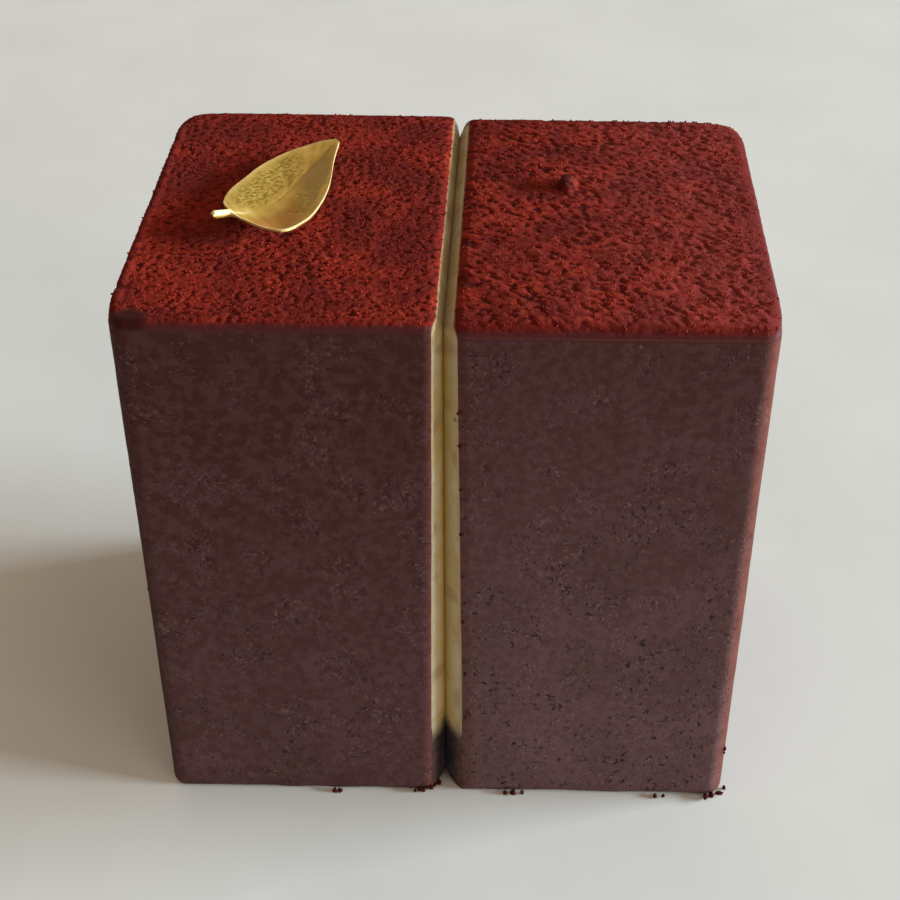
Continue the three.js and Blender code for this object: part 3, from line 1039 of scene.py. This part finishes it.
# %% [markdown]
# ## The gilded leaf
# A natural leaf on a short stalk lies on the cocoa, curved along its vein, with the near rim raised like the
# side of a spoon. A flat cut-out with a Simple Deform modifier would bend all of it alike. Here three rails,
# the vein and the two rims, carry the whole form, as the ribs of a boat carry its planks, and the blade is
# spanned between them, straight in plan and cupped in height.

# %% Lay the three rails of the leaf
VEIN = np.array([
    (-28.5, -6.85, 2.6), (-26.6, -5.45, 2.1), (-25.3, -4.65, 1.55), (-23.7, -3.0, 1.05), (-22.0, -0.3, 0.75),
    (-20.5, 3.2, 0.7), (-19.3, 6.6, 0.85), (-18.0, 9.8, 1.15), (-16.7, 12.7, 1.55), (-15.7, 15.0, 1.9),
])
NEAR_RIM = np.array([
    (-28.3, -7.2, 2.6), (-26.35, -5.9, 2.1), (-24.7, -7.3, 2.0), (-22.1, -9.2, 2.05), (-19.5, -9.5, 1.95),
    (-17.2, -6.5, 1.8), (-16.0, -2.0, 1.65), (-15.5, 3.1, 1.55), (-15.6, 9.4, 1.6), (-15.4, 14.5, 1.9),
])
FAR_RIM = np.array([
    (-28.75, -6.5, 2.6), (-26.9, -5.1, 2.05), (-28.1, -1.4, 1.2), (-27.9, 2.1, 0.95), (-26.5, 5.9, 0.85),
    (-24.6, 9.8, 0.9), (-22.3, 12.6, 1.0), (-19.9, 14.1, 1.25), (-17.9, 15.0, 1.6), (-15.9, 15.3, 1.9),
])


def rail(points, shares):
    """A smooth curve through all the points, at shares of the way from the stalk's end to the tip."""
    ends = np.vstack([2 * points[0] - points[1], points, 2 * points[-1] - points[-2]])
    steps = shares * (len(points) - 1)
    span = np.minimum(steps.astype(int), len(points) - 2)
    t = (steps - span)[:, None]
    a, b, c, d = [ends[span + n] for n in range(4)]
    return 0.5 * (2 * b + (c - a) * t + (2 * a - 5 * b + 4 * c - d) * t**2 + (3 * b - a - 3 * c + d) * t**3)


vein_length = np.linalg.norm(np.diff(rail(VEIN, np.linspace(0, 1, 200)), axis=0), axis=1).sum()
print(f"leaf: {vein_length:.1f} mm along its vein")

# %% [markdown]
# The finer forms are added to the spanned blade, each as one term that can be seen: a crease along the outer
# part of the vein, faint side veins, slight crinkles, a bead along the rims and a round, thick stalk.

# %% Make the leaf
LEAF_CELLS = (240, 100)
LEAF_THICKNESS = 0.36
STALK_THICKNESS = 1.05
STALK_CAP = 0.014
STALK_ENDS = (0.1, 0.16)
LEAST_BULGE = 0.05
CREASE = Spec(depth=0.14, width=0.3, starts=(0.35, 0.6))
SIDE_VEIN = Spec(height=0.035, width=0.3, spacing=0.085, slant=0.1)
LEAF_CRINKLES = [(3.5, 0.07), (1.2, 0.02)]
BEAD = Spec(height=0.16, width=0.55)
NEAR_BEAD, FAR_BEAD = 1.0, 0.35
BLADE_WIDTH = (0.8, 3.0)

share = np.linspace(0, 1, LEAF_CELLS[0] + 1)
across = np.linspace(-1, 1, LEAF_CELLS[1] + 1)[None, :, None]
vein, near, far = [rail(points, share)[:, None, :] for points in (VEIN, NEAR_RIM, FAR_RIM)]
to_rim = np.where(across < 0, near - vein, far - vein)
lean = np.concatenate([np.abs(across), np.abs(across), across**2], axis=-1)
middle = vein + to_rim * lean + [0, 0, HEIGHT]
share, across = share[:, None], across[..., 0]
wide = np.linalg.norm(to_rim[..., :2], axis=-1)
full = smooth_step(*BLADE_WIDTH, wide)
off_vein = np.abs(across) * wide
crease = full * np.exp(-((off_vein / CREASE.width) ** 2)) * smooth_step(*CREASE.starts, share)
step = (share - SIDE_VEIN.slant * np.abs(across)) / SIDE_VEIN.spacing
from_vein = (step - np.round(step)) / SIDE_VEIN.width
side_vein = SIDE_VEIN.height * full * (1 - across**4) * np.exp(-(from_vein**2))
crinkle = sum(height * noise_at(middle, size, 130 + n) for n, (size, height) in enumerate(LEAF_CRINKLES))
from_rim = (1 - np.abs(across)) * wide
bead = np.exp(-((from_rim / BEAD.width) ** 2)) * np.where(across < 0, NEAR_BEAD, FAR_BEAD)
relief = side_vein - CREASE.depth * crease + (crinkle + BEAD.height * bead) * full
stalk = 1 - smooth_step(*STALK_ENDS, share)
thick = LEAF_THICKNESS + (STALK_THICKNESS - LEAF_THICKNESS) * stalk
cap = np.clip(share / STALK_CAP, 0, 1)
bulge = np.sqrt(np.maximum(LEAST_BULGE, cap * (2 - cap) - stalk * across**2))
upper, under = [middle + [0, 0, 1] * (relief + way * thick / 2 * bulge)[..., None] for way in (1, -1)]
piece = closed_skin("gilded_leaf", upper, under)

# %% [markdown]
# The finish reads four values: the painted highlight on the rim and vein with the pale stalk, a warm painted
# reflection, a painted shade and dapples. Painting them by hand in Texture Paint would need an image. Soft
# ranges along and across the blade do the same.

# %% Say where the leaf gets painted highlight, painted reflection, painted shade or dapples
STALK_PALE = 0.85
RIM_WIDTH = (0.2, 1.2)
VEIN_LINE = Spec(width=0.35, range=(0.15, 0.27, 0.04), share=0.7)
NEAR_DAPPLE = 0.7
UNEVEN = Spec(size=2.5, reach=0.08)
PATCHES = dict(
    warm=((0.26, 0.55, 0.08), (-0.92, -0.35, 0.15)),
    dull=((0.62, 0.9, 0.08), (-0.75, 0.05, 0.06)),
    far=((0.3, 0.72, 0.08), (0.12, 0.85, 0.1)),
    near=((0.5, 0.68, 0.06), (-0.75, -0.2, 0.1)),
)


def patch(value, low, high, soft):
    """One inside the range, falling softly to nothing beyond its ends."""
    return smooth_step(low - soft, low + soft, value) * (1 - smooth_step(high - soft, high + soft, value))


uneven = UNEVEN.reach * noise_at(middle, UNEVEN.size, 140)
vein_line = np.exp(-((off_vein / VEIN_LINE.width) ** 2)) * patch(share, *VEIN_LINE.range)
# Painted highlight: the rim bead and a stretch of the vein are painted pale, and the stalk is pale.
rim = np.maximum(bead * smooth_step(*RIM_WIDTH, wide), VEIN_LINE.share * vein_line)
warm, dull, far, near = [
    patch(share + uneven, *along) * patch(across + uneven, *aside) for along, aside in PATCHES.values()
]
dapple = np.maximum(far, NEAR_DAPPLE * near)
paint(piece, rim=np.clip(rim + STALK_PALE * stalk, 0, 1), warm=warm, dull=dull, dapple=dapple)
dress(piece, "gilding", gilded_finish, "gold_leaf")
print(f"dapples on {(dapple > 0.5).mean():.0%} of the blade")

# %% [markdown]
# ## Loose grains and crumbs
# Single grains of cocoa lie on the clumps, and a few crumbs have dropped round the foot or stuck to the
# edges. A particle system would be lost when the model leaves Blender, so all grains of a kind are written
# into one mesh: a twenty-sided ball, copied, stretched and knocked out of shape by a seeded random draw.

# %% Make helpers for joined grains
def ball():
    work = bmesh.new()
    bmesh.ops.create_icosphere(work, subdivisions=1, radius=1.0)
    points = np.array([vertex.co[:] for vertex in work.verts])
    faces = np.array([[vertex.index for vertex in face.verts] for face in work.faces])
    work.free()
    return points, faces


def joined_grains(name, centres, radii, draw):
    points, faces = ball()
    count = len(centres)
    knock = draw.uniform(0.6, 1.3, (count, len(points), 1))
    stretch = draw.uniform(0.7, 1.25, (count, 1, 3))
    places = centres[:, None, :] + radii[:, None, None] * points[None] * knock * stretch
    places[..., 2] = np.maximum(places[..., 2], 0)
    joined = (faces[None] + len(points) * np.arange(count)[:, None, None]).reshape(-1, faces.shape[1])
    return new_piece(name, places.reshape(-1, 3), joined.tolist())


# %% Scatter loose cocoa grains on the dusting
GRAINS = 2000
GRAIN_RADIUS = (0.06, 0.18)
GRAIN_LIFT = 0.05
THICK_ENOUGH, FLAT_ENOUGH = 0.3, 0.4
draw = np.random.default_rng(7)
centres = []
for name, (points, normals, thin) in dusting.items():
    spots = np.argwhere((thin < THICK_ENOUGH) & (normals[..., 2] > FLAT_ENOUGH))
    picked = spots[draw.choice(len(spots), GRAINS, replace=False)]
    rows, columns = picked.T
    centres.append(points[rows, columns] + GRAIN_LIFT * normals[rows, columns])
centres = np.concatenate(centres)
grains = joined_grains("loose_cocoa_grains", centres, draw.uniform(*GRAIN_RADIUS, len(centres)), draw)
paint(grains, clump=np.repeat(draw.uniform(0.3, 1.0, len(centres)), len(ball()[0])))
dress(grains, "cocoa", cocoa_finish)

# %% Drop crumbs round the foot and stick a few to the edges
CRUMBS = [
    (-15.2, -27.2, 0.3, 0.5), (-14.4, -27.2, 0.25, 0.35), (-2.5, -26.0, 0.35, 0.5), (-1.6, -25.2, 0.35, 0.45),
    (-4.2, -26.9, 0.35, 0.3), (-3.6, -26.9, 0.6, 0.35), (-3.1, -26.8, 0.3, 0.4), (-2.6, -26.6, 0.7, 0.38),
    (-2.1, -26.3, 0.4, 0.42), (-1.5, -25.9, 0.5, 0.38), (-1.1, -25.3, 0.35, 0.4),
    (2.5, -26.5, 22.0, 0.22), (2.3, -26.4, 31.0, 0.25), (2.2, -26.4, 38.5, 0.2), (2.05, -26.4, 45.2, 0.28),
    (1.95, -26.4, 52.0, 0.24), (1.8, -26.4, 58.4, 0.26), (1.75, -26.4, 63.1, 0.3), (2.6, -26.5, 14.3, 0.25),
    (8.1, -26.7, 0.3, 0.4), (9.2, -26.7, 0.3, 0.45), (10.4, -26.6, 0.3, 0.4), (28.5, -26.4, 0.25, 0.35),
    (29.6, -26.4, 0.25, 0.3), (35.3, -26.4, 0.4, 0.55), (36.2, -26.2, 0.45, 0.6), (37.2, -25.7, 0.35, 0.5),
    (38.0, -24.6, 0.3, 0.42), (37.35, -24.9, 8.2, 0.35), (37.3, -24.8, 7.4, 0.25),
    (-37.7, -18.0, 74.6, 0.3), (-37.05, -26.35, 73.2, 0.25), (-37.15, -26.2, 54.6, 0.2),
    (-37.2, -26.05, 34.8, 0.2),
    (20.4, 27.3, 0.3, 0.45), (-8.6, 27.4, 0.3, 0.4), (-37.7, 10.5, 0.3, 0.42), (37.7, 12.1, 0.3, 0.4),
]
CRUMB_DARK = 0.78
draw = np.random.default_rng(8)
crumbs = np.array(CRUMBS)
piece = joined_grains("fallen_crumbs", crumbs[:, :3], crumbs[:, 3], draw)
count = len(piece.data.vertices)
paint(piece, clump=draw.uniform(0.1, 0.7, count), drop=np.full(count, CRUMB_DARK))
dress(piece, "cocoa", cocoa_finish)

# %% [markdown]
# ## Floor, light and camera
# The block stands on a plain pale floor. A broad panel stands low and far off on the right, so its light
# hardly falls off over the floor and its shadows are soft at the ends. A weak warm panel in front and warm
# light from all round keep the shadow side readable. The camera looks down at the front.

# %% Make the floor
FLOOR_SIZE = 3.0
FLOOR_PALE = linear(232, 231, 228)
FLOOR_DEEP = linear(226, 225, 222)


def floor_nodes(tree):
    surface = place_group(tree, grain, Size=40.0)
    colour = mix(tree, surface["Mottle"], FLOOR_DEEP, FLOOR_PALE)
    return colour, between(tree, surface["Grit"], 0.0, 1.0, 0.5, 0.6), surface["Grit"], 0.02


floor_finish = finish_material("pale_floor", floor_nodes, Specular_IOR_Level=0.2)
floor_points = np.array([(-1, -1, 0), (1, -1, 0), (1, 1, 0), (-1, 1, 0)]) * FLOOR_SIZE / 2 / MM
floor = new_piece("floor", floor_points, [[0, 1, 2, 3]])
floor.data.materials.append(floor_finish)
floor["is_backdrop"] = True

# %% Light the scene
PANELS = {
    "right_panel": Spec(at=(2.4, 11.0, 4.0), size=(2.2, 0.5), power=480.0, colour=(0.756, 0.916, 1.0)),
    "front_panel": Spec(at=(-45.0, 17.0, 4.0), size=(2.1, 1.6), power=28.0, colour=(1.0, 0.86, 0.7)),
}
ROUND_COLOUR = (1.0, 0.8, 0.61, 1.0)
ROUND_STRENGTH = 0.38


def aim(turn, rise, distance):
    """A place at that turn from the right side and that rise, and the rotation that looks at the block."""
    turn, rise = math.radians(turn), math.radians(rise)
    way = Vector((math.cos(turn) * math.cos(rise), math.sin(turn) * math.cos(rise), math.sin(rise)))
    return Matrix.Translation(way * distance) @ way.to_track_quat("Z", "Y").to_matrix().to_4x4()


for name, spec in PANELS.items():
    light = bpy.data.lights.new(name, "AREA")
    light.shape = "RECTANGLE"
    light.size, light.size_y = spec.size
    light.energy = spec.power
    light.color = spec.colour
    panel = bpy.data.objects.new(name, light)
    panel.matrix_world = aim(*spec.at)
    bpy.context.scene.collection.objects.link(panel)
    print(name, "at", [round(value, 2) for value in panel.matrix_world.translation])

world = bpy.data.worlds.new("room")
world.use_nodes = True
around = world.node_tree.nodes["Background"]
around.inputs["Color"].default_value = ROUND_COLOUR
around.inputs["Strength"].default_value = ROUND_STRENGTH
bpy.context.scene.world = world
bpy.context.scene.view_settings.view_transform = "Standard"

# %% Place the camera
CAMERA_PLACE = Vector((7.56, -180.52, 171.55)) * MM
CAMERA_TURN, CAMERA_DIP, CAMERA_ROLL = -2.557, 36.38, -0.161
SENSOR = 36.0
FOCAL_SHARE = 1.8333

camera_data = bpy.data.cameras.new("camera")
camera_data.sensor_width = SENSOR
camera_data.lens = SENSOR * FOCAL_SHARE
camera_data.clip_start = 0.01
camera = bpy.data.objects.new("camera", camera_data)
rotation = (
    Matrix.Rotation(math.radians(-CAMERA_TURN), 3, "Z")
    @ Matrix.Rotation(math.radians(90 - CAMERA_DIP), 3, "X")
    @ Matrix.Rotation(math.radians(CAMERA_ROLL), 3, "Z")
)
camera.matrix_world = Matrix.LocRotScale(CAMERA_PLACE, rotation, None)
bpy.context.scene.collection.objects.link(camera)
bpy.context.scene.camera = camera
print(f"lens {camera_data.lens:.1f} mm")

# %% Measure both boxes and print their sizes
boxes = {"cad": cad_box, "visual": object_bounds()}
plain = {name: [list(corner) for corner in box] for name, box in boxes.items()}
for name, (low, high) in plain.items():
    print(name, [round((b - a) / MM, 2) for a, b in zip(low, high)])
